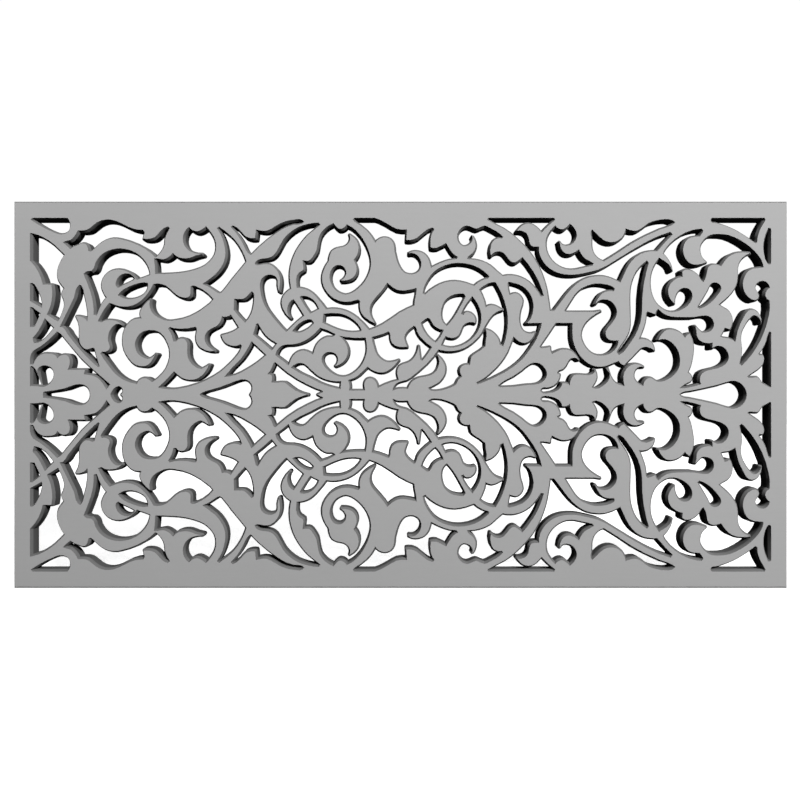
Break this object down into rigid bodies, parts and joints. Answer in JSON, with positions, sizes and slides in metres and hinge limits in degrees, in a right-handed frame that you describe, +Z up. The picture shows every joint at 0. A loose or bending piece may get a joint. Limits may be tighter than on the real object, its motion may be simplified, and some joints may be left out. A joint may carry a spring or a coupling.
{
  "type": "lattice grille",
  "caption": "Rectangular carved lattice grille: a flat fretwork panel of arabesque scrolls and leaves cut right through, in a plain narrow frame.",
  "frame": {"origin": "middle of the lower edge, half way through the thickness", "axes": "+X along the length to the right as seen from the front, +Y through the thickness to the back, +Z up"},
  "size_m": [1.2, 0.025, 0.6],
  "materials": {
    "painted_wood": "smooth satin grey paint",
    "beech": "plain turned hardwood"
  },
  "bodies": {
    "root": {"left_stile": "painted_wood", "right_stile": "painted_wood", "top_rail": "painted_wood", "bottom_rail": "painted_wood", "corner_pegs": "painted_wood", "upper_fretwork": "painted_wood", "lower_fretwork": "painted_wood", "centre_dowels": "beech", "top_dowels": "beech", "bottom_dowels": "beech", "left_dowels": "beech", "right_dowels": "beech"}
  },
  "joints": []
}
